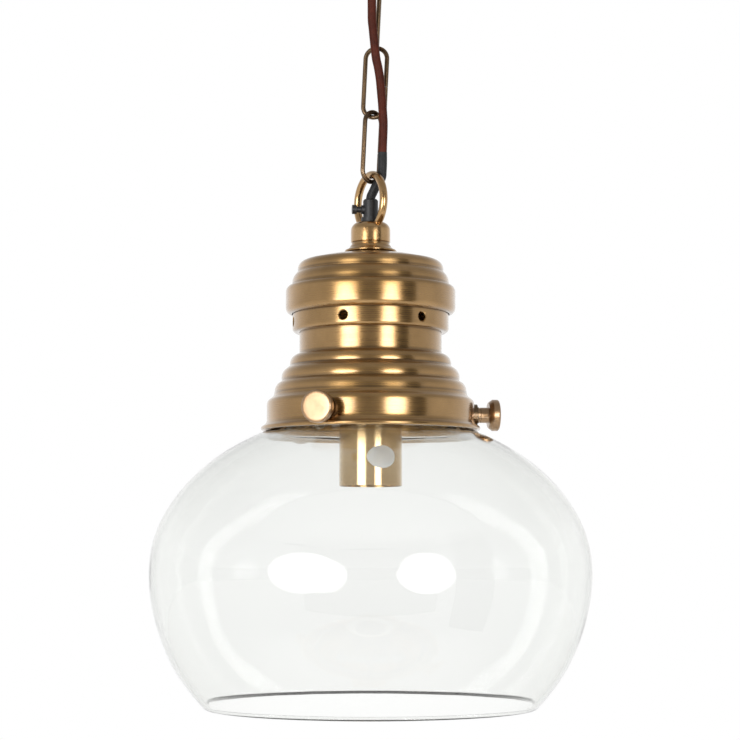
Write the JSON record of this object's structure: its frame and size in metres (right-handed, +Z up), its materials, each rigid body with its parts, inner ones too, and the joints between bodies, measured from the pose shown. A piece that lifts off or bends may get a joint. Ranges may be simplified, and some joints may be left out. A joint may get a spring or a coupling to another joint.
{
  "type": "pendant light",
  "caption": "Pendant light: wide clear glass shade held by thumbscrews in a ribbed brass gallery, hung on chain links from a hook in a ceiling rose, with a flex beside the chain.",
  "frame": {"origin": "on the ceiling bracket's back face, in line with the hook; the lamp hangs below it", "axes": "+Z up, out of the bracket's back into the ceiling; X along the bracket; the picture looks along +Y"},
  "size_m": [0.3, 0.3, 0.5549],
  "materials": {
    "aged_brass": "lacquered, antique, fine spinning lines",
    "dark_brass": "dull antique",
    "zinc_steel": "zinc plated",
    "clear_glass": "clear, smooth",
    "black_nylon": "moulded",
    "black_sleeve": "heat-shrunk",
    "brown_flex": "smooth",
    "wire_insulation": "smooth; brown, blue, green-yellow",
    "white_nylon": "moulded",
    "screw_brass": "plain turned",
    "socket_ceramic": "glazed",
    "soft_end": "soft plastic",
    "paper": "blank"
  },
  "bodies": {
    "ceiling": {"ceiling_bracket": "zinc_steel", "rose_cover": "aged_brass", "rose_side_screws": "screw_brass", "ceiling_hook": "aged_brass", "hook_locknut": "zinc_steel", "hook_collar": "aged_brass", "rose_cord_bush": "black_nylon", "terminal_block": "white_nylon", "terminal_screws": "screw_brass", "earth_screw": "screw_brass", "rose_conductors": "wire_insulation", "flex_cord": "brown_flex"},
    "upper_link": {"upper_link": "dark_brass"},
    "middle_link": {"middle_link": "dark_brass"},
    "lower_link": {"lower_link": "dark_brass"},
    "lamp": {"cord_sleeve": "black_sleeve", "cord_grip": "black_nylon", "grip_screw": "black_nylon", "suspension_loop": "aged_brass", "loop_collar": "aged_brass", "hanger_tube": "screw_brass", "tube_nuts": "zinc_steel", "cap": "aged_brass", "vent_ring": "aged_brass", "gallery": "aged_brass", "bridge_bar": "zinc_steel", "screw_bushes": "dark_brass", "glass_shade": "clear_glass", "holder_cover": "aged_brass", "holder_insert": "socket_ceramic", "screw_shell": "screw_brass", "centre_contact": "screw_brass", "holder_terminals": "screw_brass", "holder_conductors": "wire_insulation", "inner_flex": "brown_flex", "blank_sticker": "paper"},
    "thumbscrew_1": {"thumbscrew_1": "aged_brass"},
    "screw_end_1": {"screw_end_1": "soft_end"},
    "thumbscrew_2": {"thumbscrew_2": "aged_brass"},
    "screw_end_2": {"screw_end_2": "soft_end"},
    "thumbscrew_3": {"thumbscrew_3": "aged_brass"},
    "screw_end_3": {"screw_end_3": "soft_end"}
  },
  "joints": [
    {"name": "hook_swing", "type": "hinge", "parent": "ceiling", "child": "upper_link", "pos_m": [0, 0, -0.06035], "axis": [1, 0, 0], "range_deg": [-20, 20], "deforming": ["flex_cord"]},
    {"name": "upper_link_swing", "type": "hinge", "parent": "upper_link", "child": "middle_link", "pos_m": [-0.00218, 0, -0.10495], "axis": [0, 1, 0], "range_deg": [-20, 20], "deforming": ["flex_cord"]},
    {"name": "middle_link_swing", "type": "hinge", "parent": "middle_link", "child": "lower_link", "pos_m": [-0.00439, 0, -0.15019], "axis": [0.977, -0.2079, -0.0478], "range_deg": [-20, 20], "deforming": ["flex_cord"]},
    {"name": "lamp_swing", "type": "hinge", "parent": "lower_link", "child": "lamp", "pos_m": [-0.00661, 0, -0.19544], "axis": [0.7305, 0.682, -0.0357], "range_deg": [-20, 20], "deforming": ["flex_cord", "cord_sleeve"]},
    {"name": "screw_1_slide", "type": "slide", "parent": "lamp", "child": "screw_end_1", "axis": [-0.3987, -0.9171, 0], "range_m": [0, 0.004]},
    {"name": "screw_1_turn", "type": "hinge", "parent": "screw_end_1", "child": "thumbscrew_1", "pos_m": [-0.04027, -0.07795, -0.35664], "axis": [-0.3987, -0.9171, 0], "range_deg": [0, 1800]},
    {"name": "screw_2_slide", "type": "slide", "parent": "lamp", "child": "screw_end_2", "axis": [0.9936, 0.1132, 0], "range_m": [0, 0.004]},
    {"name": "screw_2_turn", "type": "hinge", "parent": "screw_end_2", "child": "thumbscrew_2", "pos_m": [0.07807, 0.00962, -0.35664], "axis": [0.9936, 0.1132, 0], "range_deg": [0, 1800]},
    {"name": "screw_3_slide", "type": "slide", "parent": "lamp", "child": "screw_end_3", "axis": [-0.5948, 0.8039, 0], "range_m": [0, 0.004]},
    {"name": "screw_3_turn", "type": "hinge", "parent": "screw_end_3", "child": "thumbscrew_3", "pos_m": [-0.05694, 0.06833, -0.35664], "axis": [-0.5948, 0.8039, 0], "range_deg": [0, 1800]}
  ],
  "couplings": [
    {"joint": "screw_1_turn", "follows": "screw_1_slide", "rad_per_m": 7854},
    {"joint": "screw_2_turn", "follows": "screw_2_slide", "rad_per_m": 7854},
    {"joint": "screw_3_turn", "follows": "screw_3_slide", "rad_per_m": 7854}
  ]
}
